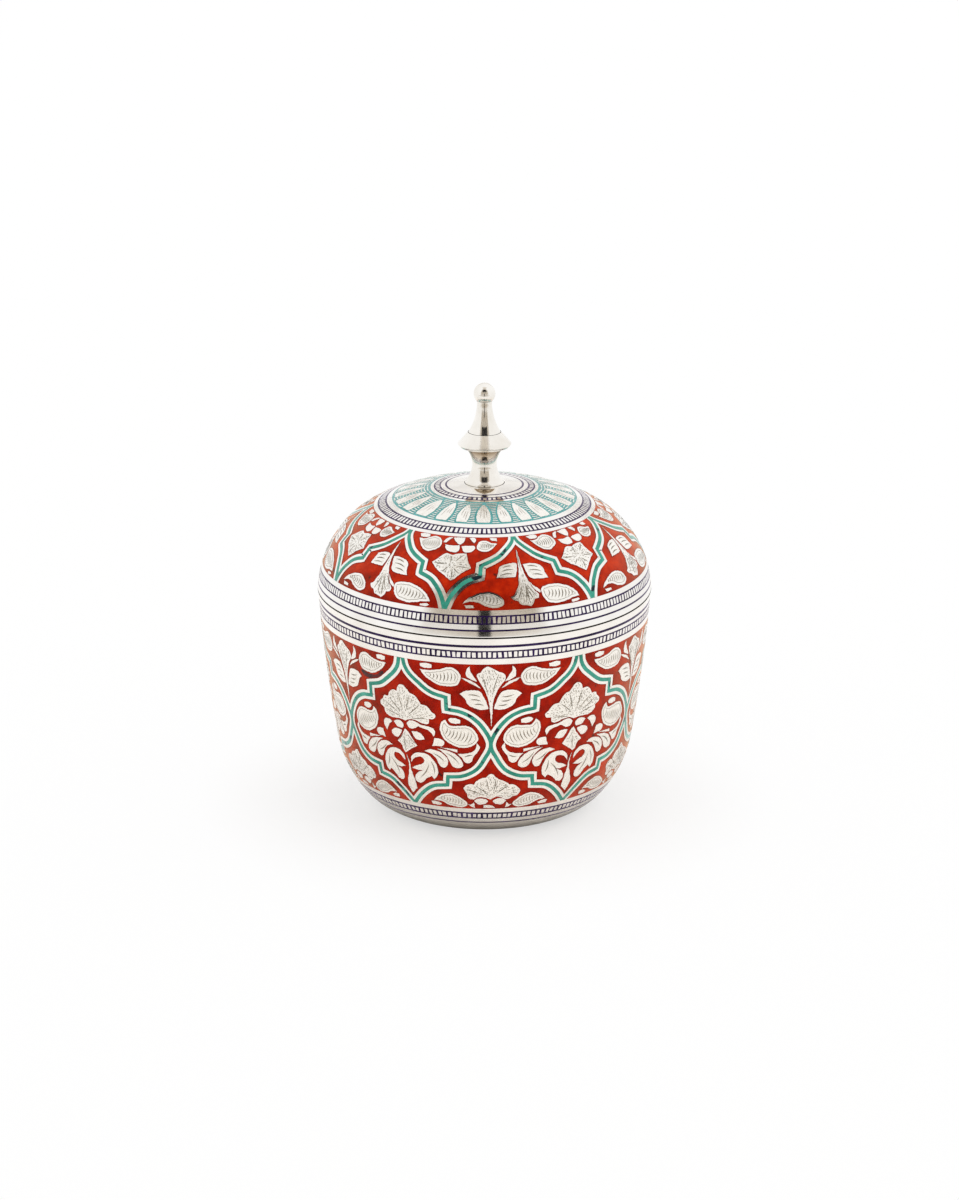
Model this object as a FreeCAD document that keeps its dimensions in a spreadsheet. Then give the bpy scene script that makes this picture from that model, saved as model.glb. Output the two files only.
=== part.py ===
import FreeCAD, Part
import math
import os

import Sketcher

# Round enamelled brass box: a spun bowl with a collar in its mouth, a domed lid that lifts off that
# collar, and a turned finial held through the crown by a washer and a nut. The coloured enamel lies
# in shallow recesses, one ring to each recess. Millimetres, +Z up, origin on the axis at the base.
SIZES = {
    # Bowl: outline of the outside, from the mouth down to the flat it stands on.
    "bowl_height": 69.4,
    "bowl_mouth_radius": 50.9,
    "bowl_wall_arc": 530.0,
    "bowl_taper": 5.4,
    "bowl_knuckle_height": 22.6,
    "bowl_belly_arc": 34.3,
    "bowl_corner_arc": 17.6,
    "bowl_wall": 2.3,
    # Collar soldered in the mouth, over which the lid slides.
    "collar_wall": 1.2,
    "collar_seat_depth": 7.0,
    "collar_rise": 5.0,
    "lid_fit_clearance": 0.25,
    "collar_top_gap": 0.6,
    # Lid: outline of the outside, from the rim up to the crown.
    "lid_overhang": 0.1,
    "lid_rise": 32.75,
    "lid_crown_swell": 2.75,
    "lid_side_drop": 1.83,
    "lid_wall": 2.0,
    # Enamel: depth of every recess, then the rings and the bare metal between them, from the mouth
    # down, from the foot up, from the lid's rim up and from the finial out.
    "enamel_depth": 0.3,
    "bowl_rim_line_drop": 2.45,
    "bowl_rim_line_width": 0.6,
    "bowl_rim_ladder_gap": 1.0,
    "bowl_rim_ladder_width": 2.95,
    "bowl_field_top_gap": 1.5,
    "bowl_foot_line_height": 6.2,
    "bowl_foot_line_width": 0.5,
    "bowl_foot_ladder_gap": 1.4,
    "bowl_foot_ladder_width": 2.65,
    "bowl_field_foot_gap": 1.55,
    "lid_rim_line_height": 1.85,
    "lid_rim_line_width": 0.6,
    "lid_rim_ladder_gap": 1.45,
    "lid_rim_ladder_width": 2.6,
    "lid_field_rim_gap": 1.5,
    "lid_crown_line_radius": 11.45,
    "lid_crown_line_width": 0.5,
    "lid_crown_ladder_gap": 1.25,
    "lid_crown_ladder_width": 2.15,
    "lid_rosette_gap": 1.05,
    "lid_rosette_width": 11.7,
    "lid_shoulder_ladder_gap": 1.5,
    "lid_shoulder_ladder_width": 2.9,
    "lid_field_top_gap": 1.2,
    # Finial: heights run up from the flat it stands on.
    "finial_seat_sink": 0.25,
    "finial_foot_radius": 6.0,
    "finial_foot_edge": 0.6,
    "finial_foot_top_radius": 5.5,
    "finial_foot_height": 1.0,
    "finial_waist_arc": 7.6,
    "finial_cup_radius": 5.6,
    "finial_cup_height": 10.8,
    "finial_rim_low_radius": 7.6,
    "finial_rim_low_height": 11.5,
    "finial_rim_radius": 8.15,
    "finial_rim_height": 12.3,
    "finial_cone_top_radius": 5.05,
    "finial_cone_top_height": 15.9,
    "finial_step": 0.15,
    "finial_stem_arc": 18.5,
    "finial_stem_top_radius": 2.25,
    "finial_stem_top_height": 25.5,
    "finial_groove_height": 0.3,
    "finial_ball_radius": 3.3,
    "finial_ball_seat_radius": 2.65,
    # Fastening of the finial: threaded tail, washer and nut inside the lid.
    "tail_radius": 2.0,
    "tail_hole_clearance": 0.2,
    "tail_end": 0.8,
    "washer_radius": 4.5,
    "washer_thickness": 0.8,
    "washer_spot_clearance": 0.4,
    "nut_across_flats": 7.0,
    "nut_height": 3.2,
    # How far a cutter runs past what it cuts.
    "overrun": 2.0,
}

# Radii and heights that several pieces share, as sums of the sizes above.
KNUCKLE_RADIUS = "bowl_mouth_radius - bowl_taper"
COLLAR_RADIUS = "bowl_mouth_radius - bowl_wall"
LID_RADIUS = "bowl_mouth_radius + lid_overhang"
LID_SIDE_ARC = "lid_rise - lid_crown_swell"
MOUTH = "bowl_height"
CROWN = "bowl_height + lid_rise"
FINIAL_SEAT = "bowl_height + lid_rise - finial_seat_sink"
WASHER_SEAT = "bowl_height + lid_rise - lid_wall"
WASHER_UNDERSIDE = WASHER_SEAT + " - washer_thickness"
NUT_UNDERSIDE = WASHER_UNDERSIDE + " - nut_height"
TAIL_END = NUT_UNDERSIDE + " - tail_end"

# Edges of the enamel rings, each worked out from its neighbour's.
RIM_LINE_LOW = MOUTH + " - bowl_rim_line_drop - bowl_rim_line_width"
RIM_LADDER_LOW = RIM_LINE_LOW + " - bowl_rim_ladder_gap - bowl_rim_ladder_width"
FIELD_HIGH = RIM_LADDER_LOW + " - bowl_field_top_gap"
FOOT_LADDER_LOW = "bowl_foot_line_height + bowl_foot_line_width + bowl_foot_ladder_gap"
FIELD_LOW = FOOT_LADDER_LOW + " + bowl_foot_ladder_width + bowl_field_foot_gap"
LID_LINE_LOW = MOUTH + " + lid_rim_line_height"
LID_LADDER_LOW = LID_LINE_LOW + " + lid_rim_line_width + lid_rim_ladder_gap"
LID_FIELD_LOW = LID_LADDER_LOW + " + lid_rim_ladder_width + lid_field_rim_gap"
CROWN_LADDER_INSIDE = "lid_crown_line_radius + lid_crown_line_width + lid_crown_ladder_gap"
ROSETTE_INSIDE = CROWN_LADDER_INSIDE + " + lid_crown_ladder_width + lid_rosette_gap"
SHOULDER_LADDER_INSIDE = ROSETTE_INSIDE + " + lid_rosette_width + lid_shoulder_ladder_gap"
LID_FIELD_INSIDE = SHOULDER_LADDER_INSIDE + " + lid_shoulder_ladder_width + lid_field_top_gap"

doc = FreeCAD.newDocument("round_enamelled_box")
sheet = doc.addObject("Spreadsheet::Sheet", "Sizes")
for row, (alias, size) in enumerate(SIZES.items(), start=1):
    sheet.set(f"A{row}", alias)
    sheet.set(f"B{row}", str(size))
    sheet.setAlias(f"B{row}", alias)
doc.recompute()


def value(total):
    """The millimetres of a sum of sizes, such as 'bowl_height - overrun'."""
    millimetres, sign = 0, 1
    for word in total.split():
        if word in "+-":
            sign = 1 if word == "+" else -1
        else:
            millimetres += sign * sheet.get(word)
    return millimetres


def bound(total):
    """The same sum as an expression on the sheet."""
    return " ".join(word if word in "+-" else "Sizes." + word for word in total.split())


def minus(total):
    """The same sum taken away, to be added to the end of another."""
    signs = {"+": "-", "-": "+"}
    return " - " + " ".join(signs.get(word, word) for word in total.split())


def bind(thing, **totals):
    """Bind properties of an object to sums of sizes; z is the height of its placement."""
    for name, total in totals.items():
        path = ".Placement.Base.z" if name == "z" else name
        thing.setExpression(path, bound(total))


def new_sketch(body):
    """A sketch on the body's own XZ plane: its X is the radius and its Y the height."""
    sketch = body.newObject("Sketcher::SketchObject", body.Name + "_outline")
    plane = next(f for f in body.Origin.OriginFeatures if f.Role == "XZ_Plane")
    sketch.AttachmentSupport = [(plane, "")]
    sketch.MapMode = "FlatFace"
    return sketch


def set_size(sketch, kind, geometry, total):
    """Add a size to the sketch, bound to a sum of sizes."""
    index = sketch.addConstraint(Sketcher.Constraint(kind, *geometry, value(total)))
    sketch.setExpression(f"Constraints[{index}]", bound(total))


def place_point(sketch, geometry, point, radius, height):
    """Hold one end of a line or an arc at a radius and a height; a zero keeps it on the axis."""
    for kind, total, axis in (("DistanceX", radius, -2), ("DistanceY", height, -1)):
        if total == "0":
            sketch.addConstraint(Sketcher.Constraint("PointOnObject", geometry, point, axis))
        else:
            set_size(sketch, kind, (-1, 1, geometry, point), total)


def meet(sketch, first, first_point, second, second_point, smooth=False):
    """Join two ends, with one tangent at the joint where it is smooth."""
    kind = "Tangent" if smooth else "Coincident"
    sketch.addConstraint(Sketcher.Constraint(kind, first, first_point, second, second_point))


def vector(radius, height):
    return FreeCAD.Vector(radius, height, 0)


def line(sketch, start, end):
    return sketch.addGeometry(Part.LineSegment(vector(*start), vector(*end)))


def arc(sketch, centre, start, end):
    """An arc about a centre, turning anticlockwise from start to end."""
    radius = math.dist(centre, start)
    angles = [math.atan2(p[1] - centre[1], p[0] - centre[0]) for p in (start, end)]
    circle = Part.Circle(vector(*centre), FreeCAD.Vector(0, 0, 1), radius)
    return sketch.addGeometry(Part.ArcOfCircle(circle, *angles))


def chord_centre(start, end, radius):
    """Centre of the arc of this radius that turns anticlockwise from start to end."""
    half = math.dist(start, end) / 2
    height = math.sqrt(radius ** 2 - half ** 2)
    along = ((end[0] - start[0]) / (2 * half), (end[1] - start[1]) / (2 * half))
    middle = ((start[0] + end[0]) / 2, (start[1] + end[1]) / 2)
    return (middle[0] - along[1] * height, middle[1] + along[0] * height)


def revolve(body, sketch):
    """Turn the sketch right round the vertical axis."""
    doc.recompute()
    turned = body.newObject("PartDesign::Revolution", body.Name + "_turned")
    turned.Profile = sketch
    turned.ReferenceAxis = (sketch, ["V_Axis"])
    turned.Angle = 360
    body.Tip = turned
    doc.recompute()
    return body


def cylinder(name, radius, height, z):
    """A round bar on the axis."""
    bar = doc.addObject("Part::Cylinder", name)
    bind(bar, Radius=radius, Height=height, z=z)
    return bar


def tube(name, inner_radius, outer_radius, height, z):
    """A round bar with a bore."""
    bored = doc.addObject("Part::Cut", name)
    bored.Base = cylinder(name + "_outside", outer_radius, height, z)
    bored.Tool = cylinder(name + "_bore", inner_radius, height, z)
    return bored


def hollowed(name, blank, open_height, wall):
    """The blank made hollow from the level face at open_height, leaving one even wall."""
    doc.recompute()
    level = value(open_height)
    faces = [i for i, face in enumerate(blank.Shape.Faces, start=1)
             if isinstance(face.Surface, Part.Plane) and math.isclose(face.CenterOfMass.z, level)]
    hollow = doc.addObject("Part::Thickness", name)
    hollow.Faces = (blank, [f"Face{faces[0]}"])
    hollow.Join = 2
    hollow.setExpression("Value", "-(" + bound(wall) + ")")
    doc.recompute()
    return hollow


def enamel(label, skin, cutter):
    """The ring of enamel where a cutter meets the outermost skin of a shell."""
    ring = doc.addObject("Part::Common", label)
    ring.Base = skin
    ring.Tool = cutter
    ring.Label = label
    return ring


def cut_away(label, blank, tools):
    """A shell with its recesses, seats and holes cut."""
    together = doc.addObject("Part::MultiFuse", label + "_cuts")
    together.Shapes = tools
    shell = doc.addObject("Part::Cut", label)
    shell.Base = blank
    shell.Tool = together
    shell.Label = label
    return shell


def bowl_blank():
    """The solid outside of the bowl: wall, belly and corner arcs run smoothly into each other."""
    body = doc.addObject("PartDesign::Body", "bowl_blank")
    sketch = new_sketch(body)
    wall_arc, belly_arc, corner_arc = (value(f"bowl_{name}_arc") for name in ("wall", "belly", "corner"))
    mouth = (value("bowl_mouth_radius"), value(MOUTH))
    knuckle = (value(KNUCKLE_RADIUS), value("bowl_knuckle_height"))
    wall_centre = chord_centre(knuckle, mouth, wall_arc)
    share = belly_arc / wall_arc
    belly_centre = tuple(k + (c - k) * share for k, c in zip(knuckle, wall_centre))
    reach = belly_arc - corner_arc
    drop = belly_centre[1] - corner_arc
    corner_centre = (belly_centre[0] + math.sqrt(reach ** 2 - drop ** 2), corner_arc)
    turn = tuple(b + (c - b) * belly_arc / reach for b, c in zip(belly_centre, corner_centre))
    flat = (corner_centre[0], 0)
    wall = arc(sketch, wall_centre, knuckle, mouth)
    belly = arc(sketch, belly_centre, turn, knuckle)
    corner = arc(sketch, corner_centre, flat, turn)
    base = line(sketch, (0, 0), flat)
    axis = line(sketch, (0, mouth[1]), (0, 0))
    top = line(sketch, mouth, (0, mouth[1]))
    meet(sketch, wall, 1, belly, 2, smooth=True)
    meet(sketch, belly, 1, corner, 2, smooth=True)
    meet(sketch, corner, 1, base, 2, smooth=True)
    meet(sketch, wall, 2, top, 1)
    meet(sketch, top, 2, axis, 1)
    meet(sketch, axis, 2, base, 1)
    sketch.addConstraint(Sketcher.Constraint("Coincident", base, 1, -1, 1))
    sketch.addConstraint(Sketcher.Constraint("Horizontal", base))
    sketch.addConstraint(Sketcher.Constraint("Vertical", axis))
    sketch.addConstraint(Sketcher.Constraint("Horizontal", top))
    place_point(sketch, wall, 2, "bowl_mouth_radius", MOUTH)
    place_point(sketch, wall, 1, KNUCKLE_RADIUS, "bowl_knuckle_height")
    for piece, name in ((wall, "wall"), (belly, "belly"), (corner, "corner")):
        set_size(sketch, "Radius", (piece,), f"bowl_{name}_arc")
    return revolve(body, sketch)


def lid_blank():
    """The solid outside of the lid: a side arc that runs smoothly into the crown's larger arc."""
    body = doc.addObject("PartDesign::Body", "lid_blank")
    sketch = new_sketch(body)
    side_arc, side_drop = value(LID_SIDE_ARC), value("lid_side_drop")
    rim = (value(LID_RADIUS), value(MOUTH))
    apex = (0, value(CROWN))
    side_centre = (rim[0] - math.sqrt(side_arc ** 2 - side_drop ** 2), rim[1] - side_drop)
    climb = apex[1] - side_centre[1]
    crown_arc = (side_centre[0] ** 2 + climb ** 2 - side_arc ** 2) / (2 * (climb - side_arc))
    crown_centre = (0, apex[1] - crown_arc)
    reach = crown_arc - side_arc
    shoulder = tuple(c + (s - c) * crown_arc / reach for c, s in zip(crown_centre, side_centre))
    side = arc(sketch, side_centre, rim, shoulder)
    crown = arc(sketch, crown_centre, shoulder, apex)
    axis = line(sketch, apex, (0, rim[1]))
    base = line(sketch, (0, rim[1]), rim)
    meet(sketch, side, 2, crown, 1, smooth=True)
    meet(sketch, crown, 2, axis, 1)
    meet(sketch, axis, 2, base, 1)
    meet(sketch, base, 2, side, 1)
    sketch.addConstraint(Sketcher.Constraint("Vertical", axis))
    sketch.addConstraint(Sketcher.Constraint("Horizontal", base))
    sketch.addConstraint(Sketcher.Constraint("PointOnObject", crown, 3, -2))
    place_point(sketch, side, 1, LID_RADIUS, MOUTH)
    place_point(sketch, crown, 2, "0", CROWN)
    set_size(sketch, "Radius", (side,), LID_SIDE_ARC)
    set_size(sketch, "DistanceY", (-1, 1, side, 3), MOUTH + " - lid_side_drop")
    return revolve(body, sketch)


def bowl_pieces():
    """Bowl shell, the collar in its mouth and the enamel rings in its outside."""
    blank = bowl_blank()
    wall = hollowed("bowl_wall_solid", blank, MOUTH, "bowl_wall")
    skin = hollowed("bowl_skin", blank, MOUTH, "enamel_depth")
    past = "bowl_mouth_radius + overrun"
    rings = {
        "bowl_rim_line_enamel": ("bowl_rim_line_width", RIM_LINE_LOW),
        "bowl_rim_ladder_enamel": ("bowl_rim_ladder_width", RIM_LADDER_LOW),
        "bowl_field_enamel": (FIELD_HIGH + minus(FIELD_LOW), FIELD_LOW),
        "bowl_foot_ladder_enamel": ("bowl_foot_ladder_width", FOOT_LADDER_LOW),
        "bowl_foot_line_enamel": ("bowl_foot_line_width", "bowl_foot_line_height"),
    }
    enamels = [enamel(label, skin, cylinder(label + "_slab", past, *slab)) for label, slab in rings.items()]
    seat = cylinder("collar_seat", COLLAR_RADIUS, "collar_seat_depth + overrun",
                    MOUTH + " - collar_seat_depth")
    shell = cut_away("bowl_shell", wall, [seat] + enamels)
    collar = tube("mouth_collar", COLLAR_RADIUS + " - collar_wall", COLLAR_RADIUS,
                  "collar_seat_depth + collar_rise", MOUTH + " - collar_seat_depth")
    collar.Label = "mouth_collar"
    return [shell, collar] + enamels


def lid_pieces():
    """Lid shell and the enamel rings in its outside."""
    blank = lid_blank()
    wall = hollowed("lid_wall_solid", blank, MOUTH, "lid_wall")
    skin = hollowed("lid_skin", blank, MOUTH, "enamel_depth")
    past = LID_RADIUS + " + overrun"
    rim_rings = {
        "lid_rim_line_enamel": ("lid_rim_line_width", LID_LINE_LOW),
        "lid_rim_ladder_enamel": ("lid_rim_ladder_width", LID_LADDER_LOW),
    }
    enamels = [enamel(label, skin, cylinder(label + "_slab", past, *slab)) for label, slab in rim_rings.items()]
    field = tube("lid_field_tube", LID_FIELD_INSIDE, past, CROWN + minus(LID_FIELD_LOW), LID_FIELD_LOW)
    enamels.append(enamel("lid_field_enamel", skin, field))
    crown_rings = {
        "lid_shoulder_ladder": SHOULDER_LADDER_INSIDE,
        "lid_rosette": ROSETTE_INSIDE,
        "lid_crown_ladder": CROWN_LADDER_INSIDE,
        "lid_crown_line": "lid_crown_line_radius",
    }
    for name, inside in crown_rings.items():
        ring = tube(name + "_tube", inside, f"{inside} + {name}_width", "lid_rise + overrun", MOUTH)
        enamels.append(enamel(name + "_enamel", skin, ring))
    register = cylinder("lid_register", COLLAR_RADIUS + " + lid_fit_clearance",
                        "overrun + collar_rise + collar_top_gap", MOUTH + " - overrun")
    flat = cylinder("finial_seat", LID_RADIUS, "overrun", FINIAL_SEAT)
    spot = cylinder("washer_spot", "washer_radius + washer_spot_clearance", "overrun", WASHER_SEAT + " - overrun")
    hole = cylinder("tail_hole", "tail_radius + tail_hole_clearance", "lid_rise", MOUTH + " + overrun")
    shell = cut_away("lid_shell", wall, [register, flat, spot, hole] + enamels)
    return [shell] + enamels


def finial_outline():
    """Finial turned from one bar: foot, hollow waist, sharp-rimmed cone, hollow stem and ball."""
    def up(*sizes):
        return " + ".join((FINIAL_SEAT,) + sizes)

    ball_seat = up("finial_stem_top_height", "finial_groove_height")
    lift = math.sqrt(value("finial_ball_radius") ** 2 - value("finial_ball_seat_radius") ** 2)
    body = doc.addObject("PartDesign::Body", "finial")
    sketch = new_sketch(body)
    corners = [
        ("tail_radius", TAIL_END),
        ("tail_radius", FINIAL_SEAT),
        ("finial_foot_radius", FINIAL_SEAT),
        ("finial_foot_radius", up("finial_foot_edge")),
        ("finial_foot_top_radius", up("finial_foot_height")),
        ("finial_cup_radius", up("finial_cup_height")),
        ("finial_rim_low_radius", up("finial_rim_low_height")),
        ("finial_rim_radius", up("finial_rim_height")),
        ("finial_cone_top_radius", up("finial_cone_top_height")),
        ("finial_cone_top_radius - finial_step", up("finial_cone_top_height")),
        ("finial_stem_top_radius", up("finial_stem_top_height")),
        ("finial_ball_seat_radius", ball_seat),
    ]
    hollow_sides = {4: "finial_waist_arc", 9: "finial_stem_arc"}
    spots = [(value(r), value(z)) for r, z in corners]
    ends = []
    for i, (start, end) in enumerate(zip(spots, spots[1:])):
        if i in hollow_sides:
            centre = chord_centre(end, start, value(hollow_sides[i]))
            ends.append((arc(sketch, centre, end, start), 2, 1))
            set_size(sketch, "Radius", (ends[-1][0],), hollow_sides[i])
        else:
            ends.append((line(sketch, start, end), 1, 2))
    ball_centre = (0, spots[-1][1] + lift)
    top = (0, ball_centre[1] + value("finial_ball_radius"))
    ball = arc(sketch, ball_centre, spots[-1], top)
    axis = line(sketch, top, (0, spots[0][1]))
    tail = line(sketch, (0, spots[0][1]), spots[0])
    ends += [(ball, 1, 2), (axis, 1, 2), (tail, 1, 2)]
    for i, (piece, start, end) in enumerate(ends):
        following, following_start, _ = ends[(i + 1) % len(ends)]
        meet(sketch, piece, end, following, following_start)
        if i < len(corners):
            place_point(sketch, piece, start, *corners[i])
    set_size(sketch, "Radius", (ball,), "finial_ball_radius")
    sketch.addConstraint(Sketcher.Constraint("PointOnObject", ball, 3, -2))
    sketch.addConstraint(Sketcher.Constraint("PointOnObject", ball, 2, -2))
    sketch.addConstraint(Sketcher.Constraint("Vertical", axis))
    sketch.addConstraint(Sketcher.Constraint("Horizontal", tail))
    finial = revolve(body, sketch)
    finial.Label = "finial"
    return finial


def finial_fastening():
    """Washer and hexagon nut on the finial's tail, against the inside of the crown."""
    washer = tube("finial_washer", "tail_radius", "washer_radius", "washer_thickness", WASHER_UNDERSIDE)
    washer.Label = "finial_washer"
    hexagon = doc.addObject("Part::Prism", "nut_hexagon")
    hexagon.Polygon = 6
    hexagon.setExpression("Circumradius", bound("nut_across_flats") + " / (2 * cos(30 deg))")
    bind(hexagon, Height="nut_height", z=NUT_UNDERSIDE)
    nut = doc.addObject("Part::Cut", "finial_nut")
    nut.Base = hexagon
    nut.Tool = cylinder("nut_bore", "tail_radius", "nut_height", NUT_UNDERSIDE)
    nut.Label = "finial_nut"
    return [washer, nut]


pieces = bowl_pieces() + lid_pieces() + [finial_outline()] + finial_fastening()
doc.recompute()

for thing in doc.Objects:
    if {"Invalid", "Error"} & set(thing.State):
        raise RuntimeError(f"{thing.Label} did not rebuild: {thing.State}")
for piece in pieces:
    if piece.Shape.isNull() or not piece.Shape.isValid() or not piece.Shape.Solids:
        raise RuntimeError(f"{piece.Label} is not a sound solid")

os.makedirs("parts", exist_ok=True)
for piece in pieces:
    piece.Shape.exportStep(f"parts/{piece.Label}.step")
    print(piece.Label, len(piece.Shape.Solids), round(piece.Shape.Volume, 1), piece.Shape.BoundBox)
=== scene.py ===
"""Looks of the round brass box: plated turned shells, sunk enamel and engraved silver ornament."""
import math
import random
import bmesh
import bpy
import numpy as np
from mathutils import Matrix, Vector, geometry


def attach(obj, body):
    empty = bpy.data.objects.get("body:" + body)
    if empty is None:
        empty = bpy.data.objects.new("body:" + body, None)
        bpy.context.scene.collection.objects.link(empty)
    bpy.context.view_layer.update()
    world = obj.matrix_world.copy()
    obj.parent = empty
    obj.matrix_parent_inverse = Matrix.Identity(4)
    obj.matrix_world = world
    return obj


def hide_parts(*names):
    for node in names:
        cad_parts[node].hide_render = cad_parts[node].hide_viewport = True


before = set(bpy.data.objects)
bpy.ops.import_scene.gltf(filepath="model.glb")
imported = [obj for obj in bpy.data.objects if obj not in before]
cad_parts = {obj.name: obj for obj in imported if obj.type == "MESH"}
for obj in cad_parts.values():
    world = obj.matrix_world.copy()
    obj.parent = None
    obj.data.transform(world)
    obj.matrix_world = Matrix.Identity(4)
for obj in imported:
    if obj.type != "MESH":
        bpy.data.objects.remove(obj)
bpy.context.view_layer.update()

# Sizes in millimetres, the same as the solids'.
MM = 0.001
SMALLEST = 1e-8  # metres, under which points are merged
MOUTH_RADIUS, MOUTH_HEIGHT = 50.9, 69.4
KNUCKLE_RADIUS, KNUCKLE_HEIGHT = 45.5, 22.6
BOWL_WALL_ARC, BOWL_BELLY_ARC, BOWL_CORNER_ARC, BOWL_WALL = 530.0, 34.3, 17.6, 2.3
LID_RADIUS, LID_RISE, LID_SWELL, LID_SIDE_DROP, LID_WALL = 51.0, 32.75, 2.75, 1.83, 2.0
LID_REGISTER_RADIUS = 48.85
CROWN = MOUTH_HEIGHT + LID_RISE
SINK = 0.3
FINIAL_SEAT = CROWN - 0.25
EDGE_ROUND = 0.4
SHARPEST_MITRE = 0.35
# Heights between which painted shade deepens the lid's red, and painted shade and reflection brown the finial's cup.
LID_SHADE_HEIGHTS = (MOUTH_HEIGHT + 8.0, MOUTH_HEIGHT + 15.0)
CUP_SHADE_HEIGHTS = (FINIAL_SEAT + 7.6, FINIAL_SEAT + 11.5)
# The enamel lies under the metal; the ornament, its strokes and its polished rims lie just over it.
ENAMEL_DIP = 0.1
ENGRAVED_LIFT = 0.02
STROKE_LIFT, POLISH_LIFT = ENGRAVED_LIFT + 0.012, ENGRAVED_LIFT + 0.006
STRAP_HALF, FILLET_EDGE, STRAP_NUDGE = 0.58, 1.45, 0.004
FILLET_LIFT, STRAP_LIFT = ENGRAVED_LIFT * 0.5, ENGRAVED_LIFT + 0.01
RIM_LINE, RIM_OVERLAP, RIM_LIFT = 0.26, 0.1, 0.006 - ENAMEL_DIP
BLACK_PATCH_LIFT = RIM_LIFT - 0.003
POLISHED_RIM, THIN_RIM = 0.45, 0.08
LINE_INSET, LINE_HALF = 0.75, 0.065
NOTCH_WIDTH, VEIN_WIDTH, CUT_WIDTH, VEIN_BOW, CUT_BOW = 0.3, 0.38, 0.34, 0.08, 0.35
TURNS, FINIAL_TURNS, TAIL_TURNS = 288, 128, 48
INSIDE_ROWS, LIP_DROP = 90, 0.5
OUTLINE_STEP, PATCH_GRID, PETAL_GRID, PATCH_MARGIN = 0.8, 0.9, 0.7, 0.3
HAND_WOBBLE = 0.08
# Rows of a chasing tool's dashes.
DASH_GAP, DASH_PACE, DASHES_KEPT, DASH_MARGIN = 0.9, 0.56, 0.8, 0.45
DASH_LENGTH, DASH_WIDTH, DASH_SKEW = (0.35, 1.0), (0.14, 0.29), (-0.4, 0.4)
# Enamel rings from edge to edge, each edge at a height (z) or a radius (r).
BOWL_RINGS = {"bowl_rim_line": ("zz", 66.95, 66.35), "bowl_rim_ladder": ("zz", 65.25, 62.65),
              "bowl_field": ("zz", 60.9, 12.3), "bowl_foot_ladder": ("zz", 10.75, 8.1),
              "bowl_foot_line": ("zz", 6.7, 6.2)}
LID_RINGS = {"lid_crown_line": ("rr", 11.45, 11.95), "lid_crown_ladder": ("rr", 13.2, 15.35),
             "lid_rosette": ("rr", 16.4, 28.1), "lid_shoulder_ladder": ("rr", 29.6, 32.5),
             "lid_field": ("rz", 33.7, 77.4), "lid_rim_ladder": ("zz", 75.9, 73.3),
             "lid_rim_line": ("zz", 71.85, 71.25)}
# Cells in each violet band, the metal edge beside it, and a cell's share of its pitch.
LADDERS = {"bowl_rim_ladder": (208, 0.48, 0.66), "bowl_foot_ladder": (168, 0.7, 0.66),
           "lid_rim_ladder": (222, 0.44, 0.66), "lid_shoulder_ladder": (139, 0.5, 0.58),
           "lid_crown_ladder": (60, 0.45, 0.62)}
LADDER_QUADS = ((0, 1, 5, 4), (8, 9, 1, 0), (4, 5, 13, 12))
LADDER_ENDS = [(0, 4, 12, 8), (7, 3, 11, 15)]
# Angles from the front towards +X, as the photo shows them in front and evenly behind.
BOWL_JUNCTIONS = (-57.7, 2.3, 65.1, 124.4, 183.7, 243.0)
BOWL_AXES = (-29.6, 33.7, 94.75, 154.05, 213.35, 272.65)
LID_TIPS = (-64.6, -13.7, 40.3, 94.0, 144.2, 194.4, 244.6)
LID_APEXES = (-40.1, 14.4, 67.6, 119.1, 169.3, 219.5, 270.0)
ROSETTE_BARS = (-53.4, -36.0, -21.2, -8.4, 7.1, 20.5, 34.5, 49.4)
ROSETTE_BACK_PETALS = 17
chance = random.Random(7)


# ---- turned faces
def arc_between(centre, radius, start, end, count=240):
    """Points of a circular arc in the outline plane."""
    first, last = (math.atan2(p[1] - centre[1], p[0] - centre[0]) for p in (start, end))
    last = first + (last - first + math.pi) % (2 * math.pi) - math.pi
    turn = np.linspace(first, last, count)
    return np.column_stack([centre[0] + radius * np.cos(turn), centre[1] + radius * np.sin(turn)])


def arc_centre(start, end, radius):
    """Centre of an arc of a given radius, on the left of the chord."""
    start, end = np.array(start, float), np.array(end, float)
    along = (end - start) / np.linalg.norm(end - start)
    rise = math.sqrt(radius ** 2 - np.dot(end - start, end - start) / 4)
    return (start + end) / 2 + rise * np.array([-along[1], along[0]])


class Face:
    """A turned outside face, measured by the arc length along its outline."""

    def __init__(self, outline):
        keep = np.concatenate([[True], np.hypot(*np.diff(outline, axis=0).T) > 1e-9])
        self.r, self.z = outline[keep].T
        self.s = np.concatenate([[0], np.cumsum(np.hypot(np.diff(self.r), np.diff(self.z)))])
        along = np.gradient(self.r, self.s), np.gradient(self.z, self.s)
        self.nr, self.nz = -along[1], along[0]

    def outline(self, s, lift=0.0):
        """Radius and height at an arc length, lifted off the face."""
        pick = [np.interp(s, self.s, values) for values in (self.r, self.z, self.nr, self.nz)]
        return np.column_stack([pick[0] + lift * pick[2], pick[1] + lift * pick[3]])

    def at(self, kind, value):
        """Arc length where the face has a height (z) or a radius (r)."""
        return float(self.s[np.argmin(np.abs({"r": self.r, "z": self.z}[kind] - value))])

    def place(self, degrees, s, lift=0.0):
        """Points in space; the angle runs from the front (-Y) towards +X."""
        rz = self.outline(np.asarray(s, float), lift)
        angle = np.radians(np.asarray(degrees, float))
        return np.column_stack([rz[:, 0] * np.sin(angle), -rz[:, 0] * np.cos(angle), rz[:, 1]])


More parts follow.
